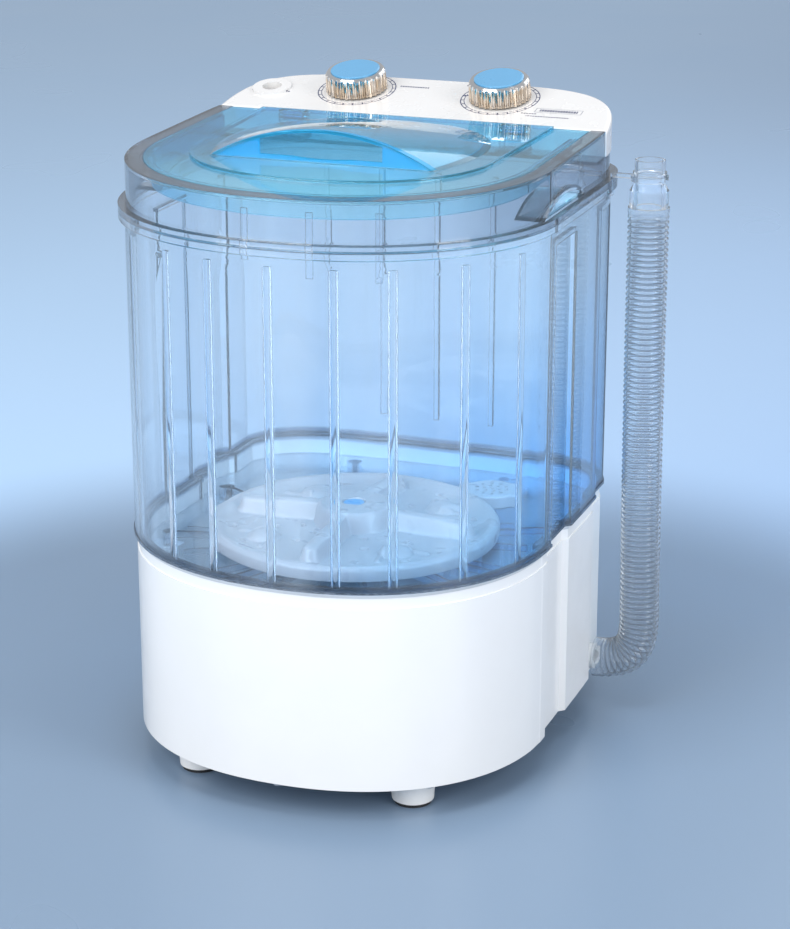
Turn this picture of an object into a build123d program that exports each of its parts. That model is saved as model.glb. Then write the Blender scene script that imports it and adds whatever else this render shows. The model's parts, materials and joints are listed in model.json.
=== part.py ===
"""Portable mini washer with a clear wash tub, a hinged lid and a corrugated drain hose.

Millimetres, +Z up. While it is modelled, y = 0 is the widest line of the body, where the rounded front
meets the straight sides, and -Y is the front. CENTRE_SHIFT then moves every piece so that the origin is
on the floor, under the middle of the body.
"""
from build123d import *
from math import atan2, cos, degrees, hypot, pi, radians, sin, tan
import os

# ---- driving dimensions -------------------------------------------------------------------------------
HALF_W = 160.0            # half width of the tub wall
FRONT_D = 149.6           # depth of the rounded front, ahead of the widest line
FRONT_POWER = 2.17        # superellipse exponent of the front
BACK_Y = 53.0             # where the rounded back begins
BACK_D = 151.5            # depth of the rounded back
BACK_POWER = 5.0          # superellipse exponent of the back
ARC_STEPS = 20            # spline spans along each half of the outline
FLANGE_OUT = 4.5          # how far the middle flange stands out of the wall
CENTRE_SHIFT = (BACK_Y + BACK_D - FRONT_D) / 2

FOOT_H = 24.3             # underside of the base
BASE_IN = 1.6             # the base stands this far inside the tub wall
BASE_BAND_Z = 165.0       # step line of the base's upper band
BASE_TOP = 173.0
BASE_WALL = 3.0
GASKET_TOP = 176.5
TUB_FLOOR = 162.0         # wet side of the tub floor
TUB_WALL = 3.0
NEST_IN = 5.6             # the tub's foot stands this far inside the wall line, within the base
RECESS_TOP = 404.0        # top of the side recesses
RIB_TOP = 409.0           # top of the front ribs
FLANGE_Z = 417.0          # underside of the middle flange
COLLAR_Z = 422.4          # underside of the upper collar
COLLAR_SEAT = 427.0       # top of the collar's flange
COLLAR_IN = 1.2
COLLAR_WALL = 2.6
RIM_Z = 460.15            # height of the rim at y = 0
RIM_SLOPE = 0.0227        # the rim rises this much per millimetre towards the back
DECK_Z = 444.0            # top of the rear deck that carries the console
DECK_T = 3.0
DECK_FRONT = 106.0
CONSOLE_Y = 128.0         # front face of the console
CONSOLE_FRONT_Z = 463.0
CONSOLE_SLOPE = 0.2368
SKIN = 2.5                # console and lid skin

SHAFT_Y = 14.2            # axis of the pulsator
PULSATOR_R = 110.6
PULSATOR_RIM_Z = 175.5
STRAINER = (73.0, 128.0)  # axis of the drain strainer
HOSE_R = 15.8
HOSE_Y = 134.0
HOSE_Z = 38.0             # axis of the hose where it leaves the base
SPIGOT_X = 150.1          # inner end of the outlet sleeve
SPIGOT_R = 10.0
PIPE_R = 7.5
PIPE_BORE = 6.0
KNOB_X, KNOB_Y = 59.5, 174.0
LID_HALF = 145.7
LID_FRONT = 134.0
HINGE_X, HINGE_Y, HINGE_Z = 90.0, 118.0, 458.4
RUN = 0.05                # radial clearance of a running fit

PULLEY_Z = 96.0           # underside of both pulleys
PULLEY_H = 12.0
BIG_PITCH = 58.0
SMALL_PITCH = 13.0
MOTOR = (-60.0, 100.0)    # axis of the motor
FEET = [(sx * 85.7, y) for y in (-90.4, 145.0) for sx in (-1, 1)]
RIB_X = (0.0, 46.5, 84.0, 124.5, 149.7)   # ribs on the rounded front, mirrored to both sides

parts = {}


# ---- outline of the body ------------------------------------------------------------------------------
def superellipse(a, b, power, start, end, steps):
    """Points of |x/a|^p + |y/b|^p = 1 between two polar angles in degrees."""
    points = []
    for i in range(steps + 1):
        t = radians(start + (end - start) * i / steps)
        c, s = cos(t), sin(t)
        r = (abs(c / a) ** power + abs(s / b) ** power) ** (-1 / power)
        points.append((r * c, r * s))
    return points


def outline(off=0.0, half=HALF_W, front=FRONT_D, back=BACK_D):
    """Closed body outline, moved outwards by off."""
    a = half + off
    fore = superellipse(a, front + off, FRONT_POWER, -180, 0, 2 * ARC_STEPS)
    aft = superellipse(a, back + off, BACK_POWER, 0, 180, 2 * ARC_STEPS)
    aft = [(x, y + BACK_Y) for x, y in aft]
    front_arc = Spline(fore, tangents=[(0, -1), (0, 1)])
    back_arc = Spline(aft, tangents=[(0, 1), (0, -1)])
    right = Line(fore[-1], aft[0])
    left = Line(aft[-1], fore[0])
    return make_face([front_arc, right, back_arc, left])


def prism(face, z0, z1):
    return extrude(Pos(0, 0, z0) * face, amount=z1 - z0)


def polygon(*points):
    return make_face(Polyline(*points, close=True))


def box(x0, x1, y0, y1, z0, z1):
    return Pos((x0 + x1) / 2, (y0 + y1) / 2, (z0 + z1) / 2) * Box(x1 - x0, y1 - y0, z1 - z0)


def rod(x, y, z0, z1, r):
    return Pos(x, y, (z0 + z1) / 2) * Cylinder(r, z1 - z0)


def ring(x, y, z0, z1, outer, inner):
    return rod(x, y, z0, z1, outer) - rod(x, y, z0 - 1, z1 + 1, inner)


def both_sides(shape):
    return shape + mirror(shape, Plane.YZ)


def side_recesses(off, z0, z1):
    """The two stepped recesses along each side: one behind the front arc, one at the rear corner."""
    spread = -off * (2 ** 0.5 - 1)
    reach = 20
    xa = HALF_W - 4.2 + off
    xb, top = xa + reach, 48 + spread
    first = polygon((xa, 2 + off), (xa, top), (xb, top + reach), (xb, 2 + off))
    xb = HALF_W - 5.0 + off
    second = polygon((xb, 124 - spread), (xb, 180), (xb + reach, 180), (xb + reach, 124 - spread - reach))
    return both_sides(prism(first, z0, z1) + prism(second, z0, z1))


def stepped(off, z0, z1):
    """A prism of the body outline with the side recesses."""
    return prism(outline(off), z0, z1) - side_recesses(off, z0 - 1, z1 + 1)


def above(z_at_0, slope, y0=-400, y1=400):
    """Everything above a plane that rises towards the back."""
    side = polygon((y0, z_at_0 + slope * y0), (y1, z_at_0 + slope * y1), (y1, 900), (y0, 900))
    return extrude(Plane.YZ * side, amount=300, both=True)


def on_front(x, off):
    """The y of the front arc at x."""
    a, b = HALF_W + off, FRONT_D + off
    return -b * (1 - abs(x / a) ** FRONT_POWER) ** (1 / FRONT_POWER)


def wall_angle(x):
    """Direction of the outward normal of the front arc at x, in degrees from +X."""
    slope_x = abs(x / HALF_W) ** (FRONT_POWER - 1) / HALF_W * (1 if x > 0 else -1)
    slope_y = -abs(on_front(x, 0) / FRONT_D) ** (FRONT_POWER - 1) / FRONT_D
    return degrees(atan2(slope_y, slope_x))


def try_fillet(shape, edges, radius):
    """Round the edges, or leave them sharp where the rounding does not fit."""
    try:
        rounded = fillet(edges, radius)
        return rounded if rounded.is_valid and rounded.volume > 0 else shape
    except Exception:
        return shape


# ---- base ---------------------------------------------------------------------------------------------
LUG_PLACES = ((62.0, -118.0), (139.0, -26.0), (139.0, 88.0), (66.0, 184.0))
LUGS = [(side * x, y) for x, y in LUG_PLACES for side in (-1, 1)]
LUG_Z = 148.0             # top of the base's lugs, where the screw bosses stand
LUG_H = 4.0
LUG_HALF = 9.0
SCREW_HOLE_R = 2.3
LOUVRES = range(-4, 5)    # slots in the rear wall


def base_lug(x, y):
    """Shelf from the side wall inwards to a tub screw."""
    lug = box(-LUG_HALF, LUG_HALF, -LUG_HALF, LUG_HALF, LUG_Z - LUG_H, LUG_Z)
    to_wall = {-118.0: -10.0, 184.0: 14.0}.get(y, 0.0)
    return Pos(x, y, 0) * lug + Pos(1.12 * x, y + to_wall, 0) * lug


def base_housing():
    shell = stepped(-BASE_IN, FOOT_H, BASE_BAND_Z) + stepped(-BASE_IN - 0.9, BASE_BAND_Z, BASE_TOP)
    inner = stepped(-BASE_IN - BASE_WALL, FOOT_H + 3, BASE_TOP + 1)
    lip = stepped(-BASE_IN - 9, FOOT_H - 1, FOOT_H + 4)
    shell = shell - inner - lip
    inside = stepped(-BASE_IN - BASE_WALL + 1, FOOT_H + 4, BASE_TOP)
    for x, y in LUGS:
        shell += base_lug(x, y) & inside
    for x, y in LUGS:
        shell -= rod(x, y, LUG_Z - LUG_H - 1, LUG_Z + 1, SCREW_HOLE_R)
    shell -= Pos(HALF_W, HOSE_Y, HOSE_Z) * Rot(0, 90, 0) * Cylinder(SPIGOT_R + 0.2, 40)
    back = BACK_Y + BACK_D - BASE_IN
    for k in LOUVRES:
        shell -= box(k * 9 + 30, k * 9 + 34, back - 12, back + 8, 62, 104)
    shell -= Pos(-92, back - 4, 60) * Rot(90, 0, 0) * Cylinder(8.2, 30)
    for x, y in base_screw_places():
        shell -= rod(x, y, FOOT_H - 2, FOOT_H + 5, 2.3)
    return shell


def base_screw_places():
    pairs = ((104.0, -107.5), (152.0, 85.0), (60.0, 196.6))
    return [(0.0, -141.6)] + [(side * x, y) for x, y in pairs for side in (-1, 1)]


def screw(x, y, z, length, head_r=3.8, shank_r=1.9, head_h=2.4):
    """A pan head screw that points up, with its head's underside at z."""
    body = rod(x, y, z, z + length, shank_r) + rod(x, y, z - head_h, z, head_r)
    body = body - box(x - 2.6, x + 2.6, y - 0.5, y + 0.5, z - head_h - 1, z - head_h + 1)
    return body - box(x - 0.5, x + 0.5, y - 2.6, y + 2.6, z - head_h - 1, z - head_h + 1)


def bottom_plate():
    z0 = FOOT_H + 3
    plate = stepped(-BASE_IN - BASE_WALL - 0.5, z0, z0 + 3)
    for x, y in base_screw_places():
        plate -= rod(x, y, z0 - 1, z0 + 5, 2.0)
    for x, y in FEET:
        plate -= rod(x, y, z0 - 1, z0 + 5, 4.2)
    for k in range(-5, 6):
        plate -= box(-24, 24, k * 8 + 32, k * 8 + 35, z0 - 1, z0 + 4)
    for dx in (-36, 36):
        for dy in (-36, 36):
            plate -= rod(MOTOR[0] + dx, MOTOR[1] + dy, z0 - 1, z0 + 5, 3.2)
    return plate


def foot(x, y):
    top = FOOT_H + 3
    profile = polygon((0, 2.6), (14.6, 2.6), (14.6, 3.2), (15.6, 3.2),
                      (17.4, top), (5, top), (5, top + 6), (0, top + 6))
    body = revolve(Plane.XZ * profile, Axis.Z)
    body -= rod(0, 0, 2, top - 6, 2.4)
    return Pos(x, y, 0) * ((body & rod(0, 0, 0, top, 30)) + (body & rod(0, 0, 0, top + 6, 4.0)))


def foot_pads():
    pads = [Pos(x, y, 1.3) * (Cylinder(13.8, 2.6) - Cylinder(3.0, 2.6)) for x, y in FEET]
    return Compound(children=pads)


# ---- tub ----------------------------------------------------------------------------------------------
def inner_rib(x):
    """Half-round rib on the wet side of the front wall."""
    radius, sunk = 3.4, 0.9
    angle = radians(wall_angle(x))
    y = on_front(x, -TUB_WALL)
    return rod(x + sunk * cos(angle), y + sunk * sin(angle), GASKET_TOP + 2, RIB_TOP, radius)


def wash_tub():
    floor_z = TUB_FLOOR - TUB_WALL
    outer = stepped(-NEST_IN, floor_z, GASKET_TOP + 1.5) + stepped(0, GASKET_TOP, RECESS_TOP)
    outer += prism(outline(0), RECESS_TOP, FLANGE_Z + 5) + prism(outline(FLANGE_OUT), FLANGE_Z, FLANGE_Z + 5)
    outer += stepped(0.8, GASKET_TOP, GASKET_TOP + 2)
    inner = stepped(-NEST_IN - TUB_WALL, TUB_FLOOR, GASKET_TOP + 3)
    inner += stepped(-TUB_WALL, GASKET_TOP + 3, RECESS_TOP + 3)
    inner += prism(outline(-TUB_WALL), RECESS_TOP + 3, FLANGE_Z + 10)
    tub = outer - inner
    wall_line = prism(outline(-0.8), TUB_FLOOR, RIB_TOP)
    for x in RIB_X:
        rib = inner_rib(x) & wall_line
        tub += rib if x == 0 else both_sides(rib)
    for x in (-96, -48, 0, 48, 96):
        back = BACK_Y + BACK_D
        tub += box(x - 2, x + 2, back - TUB_WALL - 3.4, back - 1.5, 200, 404) & wall_line
    tub -= rod(0, SHAFT_Y, floor_z - 1, TUB_FLOOR + 1, 15.2)
    tub -= rod(*STRAINER, floor_z - 1, TUB_FLOOR + 1, 17.2)
    tub -= box(161.2, 163.4, HOSE_Y - 3.2, HOSE_Y + 3.2, FLANGE_Z - 1, FLANGE_Z + 6)
    return tub


WEB_H = 5.0               # depth of the webs under the tub floor
SPIDER_HUB = (38.6, 43.0) # inner and outer radius of its hub ring


def tub_spider():
    """Ribbed frame under the tub floor: a hub ring, radial webs, and arms to the screw bosses."""
    top = TUB_FLOOR - TUB_WALL
    spider = ring(0, SHAFT_Y, top - WEB_H, top, SPIDER_HUB[1], SPIDER_HUB[0])
    for k in range(16):
        web = box(SPIDER_HUB[0] + 2, 132, -0.9, 0.9, top - WEB_H, top)
        spider += Pos(0, SHAFT_Y, 0) * Rot(0, 0, 11.25 + 22.5 * k) * web
    for x, y in LUGS:
        reach, turn = hypot(x, y - SHAFT_Y), degrees(atan2(y - SHAFT_Y, x))
        arm = box(SPIDER_HUB[0] + 2, reach, -1.5, 1.5, top - WEB_H, top)
        spider += Pos(0, SHAFT_Y, 0) * Rot(0, 0, turn) * arm + rod(x, y, LUG_Z, top, 5)
    for x, y in LUGS:
        spider -= rod(x, y, LUG_Z - 1, top - 1, 2.0)
    return spider - rod(*STRAINER, LUG_Z, top + 1, 20.3)


def tub_gasket():
    rim = stepped(-BASE_IN - 0.5, BASE_TOP, GASKET_TOP)
    return rim - stepped(-NEST_IN + 0.5, BASE_TOP - 1, GASKET_TOP + 1)


# ---- drain --------------------------------------------------------------------------------------------
def strainer_seat():
    """Cup under the tub floor that holds the strainer and leads to the drain pipe."""
    x, y = STRAINER
    cup = rod(x, y, 128, TUB_FLOOR - TUB_WALL, 20) + rod(x, y, TUB_FLOOR - TUB_WALL, TUB_FLOOR, 17)
    cup -= rod(x, y, 131, TUB_FLOOR + 1, 15)
    return cup - rod(x, y, 120, 140, PIPE_BORE)


def strainer_cover():
    x, y = STRAINER
    skirt = ring(x, y, 140, TUB_FLOOR + 0.3, 14.6, 13.0) + ring(x, y, TUB_FLOOR + 0.3, 169, 21.5, 19.5)
    cap = rod(x, y, 169, 172, 21.5)
    cap = try_fillet(cap, cap.edges().group_by(Axis.Z)[-1], 2)
    cover = skirt + cap + ring(x, y, TUB_FLOOR + 0.3, TUB_FLOOR + 2, 21.5, 13.0)
    cover -= rod(x, y, 169 - 8, 170, 13.0)
    for count, r in ((1, 0.0), (6, 6.5), (10, 12.4)):
        for k in range(count):
            a = 2 * pi * k / count
            cover -= rod(x + r * cos(a), y + r * sin(a), 160, 175, 1.7)
    for k in range(10):
        slot = box(10, 24, -1.2, 1.2, 146, 156)
        cover -= Pos(x, y, 0) * Rot(0, 0, 36 * k) * slot
    return cover


def drain_pipe():
    """Rigid pipe from the strainer seat to the spigot in the side wall."""
    x, y = STRAINER
    path = FilletPolyline((x, y, 128), (x, y, HOSE_Z + 30), (x + 30, HOSE_Y, HOSE_Z),
                          (SPIGOT_X, HOSE_Y, HOSE_Z), radius=16)
    outer = sweep(Plane((x, y, 128), z_dir=(0, 0, -1)) * Circle(PIPE_R), path=path)
    inner = sweep(Plane((x, y, 128), z_dir=(0, 0, -1)) * Circle(PIPE_BORE), path=path)
    return outer - inner


def along_x(x0, x1, y, z, r):
    return Pos((x0 + x1) / 2, y, z) * Rot(0, 90, 0) * Cylinder(r, x1 - x0)


def hose_spigot():
    """Outlet sleeve through the side wall, where the hose starts."""
    sleeve = along_x(SPIGOT_X, HOSE_ROUTE[0][0], HOSE_Y, HOSE_Z, SPIGOT_R)
    return sleeve - along_x(140, 170, HOSE_Y, HOSE_Z, PIPE_BORE)


HOSE_ROUTE = [(158.8, HOSE_Y, HOSE_Z), (177.8, HOSE_Y, HOSE_Z), (194.4, HOSE_Y, 54.0), (193.6, HOSE_Y, 98.0),
              (192.4, HOSE_Y, 182.0), (191.6, HOSE_Y, 268.0), (191.2, HOSE_Y, 340.0), (191.2, HOSE_Y, 407.0)]


def arc_radii(route):
    """One radius per corner: 0.45 of the shorter run over the tangent of half the turn."""
    radii = []
    for a, b, c in zip(route, route[1:], route[2:]):
        u, v = Vector(b) - Vector(a), Vector(c) - Vector(b)
        radii.append(0.45 * min(u.length, v.length) / tan(radians(u.get_angle(v)) / 2))
    return radii


def drain_hose():
    radii = arc_radii(HOSE_ROUTE)
    print("hose radii", [round(r, 1) for r in radii])
    path = FilletPolyline(*HOSE_ROUTE, radius=radii)
    hose = sweep(Plane(HOSE_ROUTE[0], z_dir=(1, 0, 0)) * Circle(HOSE_R), path=path)
    ratio = hose.volume / (pi * HOSE_R ** 2 * path.length)
    print("hose length", round(path.length, 1), "volume ratio", round(ratio, 4))
    return hose


NOZZLE_X, NOZZLE_Z = HOSE_ROUTE[-1][0], HOSE_ROUTE[-1][2]
NOZZLE_R = 11.6           # end of the nozzle, above its bead


def hose_nozzle():
    profile = polygon((9.6, 0), (14.8, 0), (14.8, 13), (11.8, 18), (11.8, 25), (12.8, 25.6), (12.8, 27),
                      (NOZZLE_R, 27), (NOZZLE_R, 36), (9.6, 36))
    tip = revolve(Plane.XZ * profile, Axis.Z)
    # the end face that meets the corrugated hose is square to the hose's last run
    return Pos(NOZZLE_X, HOSE_Y, NOZZLE_Z) * tip


def nozzle_hook():
    """Hanger on the nozzle: a ring round the neck, an arm, and a tongue that drops into the flange."""
    z0, z1 = NOZZLE_Z + 20, NOZZLE_Z + 24
    clip = ring(NOZZLE_X, HOSE_Y, z0, z1, 14.2, 11.85)
    clip -= box(NOZZLE_X + 4, NOZZLE_X + 20, HOSE_Y - 6, HOSE_Y + 6, z0 - 1, z1 + 1)
    arm = box(161.5, NOZZLE_X - 12.5, HOSE_Y - 2.6, HOSE_Y + 2.6, z0 + 1, z1)
    tongue = box(161.5, 163.1, HOSE_Y - 2.6, HOSE_Y + 2.6, FLANGE_Z - 3, z0 + 2)
    return clip + arm + tongue


# ---- collar, grips and hinge brackets ------------------------------------------------------------------
def lid_face(off=0.0):
    """D-shaped face: a superellipse front, straight sides and a straight rear edge."""
    a, b = LID_HALF + off, LID_FRONT + off
    rear = HINGE_Y + 7.5 + min(off, 2.0)
    fore = superellipse(a, b, FRONT_POWER, -180, 0, 2 * ARC_STEPS)
    arc = Spline(fore, tangents=[(0, -1), (0, 1)])
    return make_face([arc, Line((a, 0), (a, rear)), Line((a, rear), (-a, rear)), Line((-a, rear), (-a, 0))])


def slab(face, low, high):
    """The part of a vertical prism between two planes parallel to the rim, at depths below its plane."""
    return prism(face, 300, 560) & (above(RIM_Z - low, RIM_SLOPE) - above(RIM_Z - high, RIM_SLOPE))


GRIP_Y0, GRIP_Y1, GRIP_Z0, GRIP_Z1 = -26.0, 66.0, 429.4, 438.0


def grip_lens(grow, x0, x1):
    """Leaf-shaped prism across the side wall, grown outwards by a wall thickness."""
    y0, y1, z0, z1 = GRIP_Y0 - 2 * grow, GRIP_Y1 + 2 * grow, GRIP_Z0 - grow, GRIP_Z1 + grow
    arc = ThreePointArc((y0, z0), ((y0 + y1) / 2, z1), (y1, z0))
    face = make_face([arc, Line((y1, z0), (y0, z0))])
    return extrude(Plane.YZ.offset(x0) * face, amount=x1 - x0)


SNAP_TABS = ((-17.0, 5.0, 10.0), (30.0, 5.0, 20.0), (75.5, 5.0, 22.0))   # x, width, drop below the flange


def upper_collar():
    body = prism(outline(FLANGE_OUT), COLLAR_Z, COLLAR_SEAT) + prism(outline(-COLLAR_IN), COLLAR_SEAT, 500)
    body -= above(RIM_Z, RIM_SLOPE)
    inner = prism(outline(-COLLAR_IN - COLLAR_WALL), COLLAR_Z - 1, 500)
    body -= inner - above(RIM_Z - COLLAR_WALL, RIM_SLOPE)
    body -= prism(lid_face(0.8), COLLAR_Z, 500)
    body -= box(-LID_HALF - 0.8, LID_HALF + 0.8, HINGE_Y, CONSOLE_Y, COLLAR_SEAT, 500)
    ledge = slab(lid_face(2.5), 2 * COLLAR_WALL, COLLAR_WALL) - prism(lid_face(-3.2), 300, 560)
    body += ledge - box(-200, 200, 100, 140, 400, 500)
    body -= box(-200, 200, CONSOLE_Y - 0.3, 260, DECK_Z, 520)
    for side in (-1, 1):
        cut = grip_lens(2.2, 140, 175)
        body -= cut if side == 1 else mirror(cut, Plane.YZ)
    body -= box(161.2, 163.4, HOSE_Y - 3.2, HOSE_Y + 3.2, COLLAR_Z - 1, COLLAR_SEAT + 1)
    return body


def rear_deck():
    """Clear shelf inside the back of the collar, under the console and the hinge brackets."""
    inside = outline(-COLLAR_IN - COLLAR_WALL)
    deck = prism(inside, DECK_Z - DECK_T, DECK_Z) & box(-200, 200, DECK_FRONT, 260, 400, 500)
    gussets = box(150, 200, 132, 135, COLLAR_SEAT, DECK_Z - 1)
    gussets += box(150, 200, 158, 161, COLLAR_SEAT, DECK_Z - 1)
    deck += both_sides(gussets & prism(inside, COLLAR_SEAT, DECK_Z))
    return deck - rod(*INLET, 400, 500, 9.9)


def collar_clips():
    """Snap clips that hang from the collar's wall and hold it to the tub."""
    clips = []
    for x, width, drop in SNAP_TABS:
        y = on_front(x, -COLLAR_IN - COLLAR_WALL)
        clip = box(-width / 2, width / 2, 0.15, 1.6, COLLAR_Z - drop, RIM_Z - 12)
        clips.append(Pos(x, y, 0) * Rot(0, 0, wall_angle(x) + 90) * clip)
    return Compound(children=clips)


def side_grip():
    """Clear cup that lines the hand hold in the right wall."""
    wall = HALF_W - COLLAR_IN
    cup = grip_lens(2.0, 137, wall) - grip_lens(0, 139, wall + 5)
    lip = grip_lens(4.6, wall, wall + 1.6) - grip_lens(0, wall - 1, wall + 5)
    return cup + (lip & box(0, 200, -60, 120, COLLAR_SEAT, 460))


def hinge_bracket(side):
    x = side * HINGE_X
    plate = box(x - 12, x + 12, 107, 124, DECK_Z, DECK_Z + 2)
    for dx in (-10.2, 10.2):
        ear = box(x + dx - 1.5, x + dx + 1.5, HINGE_Y - 3.6, HINGE_Y + 3.6, DECK_Z, HINGE_Z)
        plate += ear + along_x(x + dx - 1.5, x + dx + 1.5, HINGE_Y, HINGE_Z, 3.6)
    return plate - along_x(x - 20, x + 20, HINGE_Y, HINGE_Z, 1.8 + RUN)


def hinge_pin(side):
    x = side * HINGE_X
    return along_x(x - 12.6, x + 12.6, HINGE_Y, HINGE_Z, 1.8)


# ---- lid ----------------------------------------------------------------------------------------------
PLATEAU_H = 2.2            # height of the lid's raised middle
PLATEAU_SIDE = 27.0        # its rear corners lie this far inside the lid's sides
PLATEAU_TAPER = 4.5        # it is narrower by this much on each side at its rounded front
PLATEAU_FORE = 37.0        # and its front lies this far behind the lid's front
PLATEAU_REAR = 124.6
HOOD_Y, HOOD_HALF, HOOD_RISE = -50.0, 88.0, 24.0
HOOD_SKIN = 2.2
# distance back from the hood's front, half width and rise of each of its sections
HOOD_SECTIONS = ((0, HOOD_HALF, HOOD_RISE), (58, 103, 17.0), (108, 98, 8.4), (150, 68, 1.6))
SILL_H = 4.0               # the hand opening starts this far above the raised middle
OPENING_HALF = 47.0


def plateau_face(off):
    """The raised middle of the lid: it widens towards the hinges."""
    a, b = LID_HALF - PLATEAU_SIDE - PLATEAU_TAPER + off, LID_FRONT - PLATEAU_FORE + off
    rear, wide = PLATEAU_REAR + off, LID_HALF - PLATEAU_SIDE + off
    fore = superellipse(a, b, FRONT_POWER, -180, 0, 2 * ARC_STEPS)
    arc = Spline(fore, tangents=[(0, -1), (0, 1)])
    return make_face([arc, Line((a, 0), (wide, rear)), Line((wide, rear), (-wide, rear)),
                      Line((-wide, rear), (-a, 0))])


def plateau_top(y):
    return RIM_Z + PLATEAU_H + RIM_SLOPE * y


def hood_solid(drop):
    """Arched hood over the hand opening, lofted down to the rear; drop makes the inner skin."""
    base = plateau_top(HOOD_Y) - 1.5

    def arch(back, half, rise):
        z = base + RIM_SLOPE * back
        arc = ThreePointArc((-half, z), (0, z + rise), (half, z))
        plane = Plane((0, HOOD_Y + back, 0), x_dir=(1, 0, 0), z_dir=(0, -1, 0))
        return plane * make_face([arc, Line((half, z), (-half, z))])

    return loft([arch(back, half - drop * 2.4, rise + 1.5 - drop) for back, half, rise in HOOD_SECTIONS])


def lid_hood():
    """The hood with its hollow, the hand opening in its front wall and the scoop ahead of it."""
    hollow = hood_solid(HOOD_SKIN)
    hood = hood_solid(0) - (hollow & box(-200, 200, HOOD_Y + 2.4, 200, 440, 520))
    sill = plateau_top(HOOD_Y) + SILL_H
    hood -= box(-OPENING_HALF, OPENING_HALF, HOOD_Y - 4, HOOD_Y + 3, sill, 520) & Pos(0, -1.5, 0) * hollow
    return hood - Pos(0, HOOD_Y - 1.5, sill + 7.0) * scale(Sphere(1), by=(OPENING_HALF, 13, 8.4))


def lid():
    plate = slab(lid_face(0), 2.4, 0)
    raised = slab(plateau_face(0), 2.4, -PLATEAU_H)
    raised = try_fillet(raised, raised.faces().sort_by(Axis.Z)[-1].edges(), 1.4)
    hollow = slab(plateau_face(-SKIN), 6, 0)
    skirt = slab(lid_face(-4.4), 17, 0) - prism(lid_face(-6.4), 300, 560)
    skirt -= box(-200, 200, 96, 140, 400, 500)
    body = plate + raised - hollow + skirt + lid_hood()
    for side in (-1, 1):
        x = side * HINGE_X
        body += along_x(x - 8, x + 8, HINGE_Y, HINGE_Z, 3.6)
        body += box(x - 8, x + 8, HINGE_Y - 3.6, HINGE_Y + 3.6, HINGE_Z, HINGE_Z + 5.2)
        body -= along_x(x - 8.7, x + 8.7, HINGE_Y, HINGE_Z, 1.8 + RUN)
        for dx in (-10.2, 10.2):
            body -= box(x + dx - 1.9, x + dx + 1.9, HINGE_Y - 4.4, HINGE_Y + 9, HINGE_Z - 5, HINGE_Z + 5.6)
    return body


# ---- console ------------------------------------------------------------------------------------------
def console_plane(x, y, lift=0.0):
    """Plane on the console's sloping top, its z axis square to the surface."""
    z = CONSOLE_FRONT_Z + CONSOLE_SLOPE * (y - CONSOLE_Y)
    normal = Vector(0, -CONSOLE_SLOPE, 1).normalized()
    return Plane(Vector(x, y, z) + normal * lift, x_dir=(1, 0, 0), z_dir=normal)


def upright(x, y, lift0, lift1, r):
    """Cylinder square to the console's top, between two heights above it."""
    return console_plane(x, y, (lift0 + lift1) / 2) * Cylinder(r, lift1 - lift0)


INLET = (-129.0, 166.0)


def console_block(off, floor, front):
    block = prism(outline(off), floor, 520) & box(-200, 200, front, 260, floor, 520)
    return block - above(CONSOLE_FRONT_Z - CONSOLE_SLOPE * CONSOLE_Y, CONSOLE_SLOPE)


def console_cover():
    block = console_block(-0.4, DECK_Z, CONSOLE_Y)
    top = block.faces().sort_by(Axis.Z)[-1]
    block = try_fillet(block, top.edges(), 3.0)
    hollow = console_block(-0.4 - SKIN, DECK_Z - 1, CONSOLE_Y + SKIN)
    hollow = Pos(0, 0, -SKIN) * hollow
    cover = block - hollow
    for side in (-1, 1):
        cover -= upright(side * KNOB_X, KNOB_Y, -8, 8, 6)
    return cover - upright(*INLET, -8, 8, 12.2)


def console_tray():
    tray = console_block(-0.4 - SKIN - 0.4, DECK_Z, CONSOLE_Y + SKIN + 0.4)
    tray &= box(-200, 200, 100, 260, DECK_Z, DECK_Z + 2)
    return tray - rod(*INLET, 440, 450, 12.2)


def timer_body(side):
    x = side * KNOB_X
    body = upright(x, KNOB_Y, -20.5, -SKIN - 0.3, 21) & (console_plane(x, KNOB_Y, -12) * Box(36, 60, 30))
    body += upright(x, KNOB_Y, -SKIN - 0.4, -0.6, 5.6)
    return body - upright(x, KNOB_Y, -14, 2, 3.0 + RUN)


def spindle(side):
    return upright(side * KNOB_X, KNOB_Y, -13.6, 12, 3.0)


KNOB_R, KNOB_H, FLUTES = 24.4, 16.0, 30
FLUTE_R, FLUTE_OUT = 2.15, 0.55   # radius of a flute, and how far its axis lies outside the skirt


def knob_skirt(side):
    plane = console_plane(side * KNOB_X, KNOB_Y)
    profile = polygon((3.0, 10), (KNOB_R - 3, 10), (KNOB_R - 3, 1.2), (KNOB_R, 1.2),
                      (KNOB_R - 0.8, KNOB_H - 1.2), (KNOB_R - 2.4, KNOB_H + 0.8),
                      (19.6, KNOB_H + 0.8), (19.6, 14), (3.0, 14))
    skirt = revolve(Plane.XZ * profile, Axis.Z)
    for k in range(FLUTES):
        a = 2 * pi * k / FLUTES
        r = KNOB_R + FLUTE_OUT
        skirt -= Pos(r * cos(a), r * sin(a), 10) * Cylinder(FLUTE_R, 24)
    return plane * skirt


def knob_cap(side):
    plane = console_plane(side * KNOB_X, KNOB_Y)
    profile = polygon((0, 14), (19.4, 14), (19.4, KNOB_H + 1.4), (18.4, KNOB_H + 1.9), (0, KNOB_H + 1.9))
    return plane * revolve(Plane.XZ * profile, Axis.Z)


def inlet_port():
    """Socket on the left of the console where the filling tube is pushed in."""
    x, y = INLET
    flange = upright(x, y, 0, 2.0, 15.5) + upright(x, y, -7, 0.5, 12.0)
    tube = rod(x, y, DECK_Z - 10, CONSOLE_FRONT_Z + 6, 9.6)
    body = flange + tube
    return body - rod(x, y, DECK_Z - 20, 500, 7.8)


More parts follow.
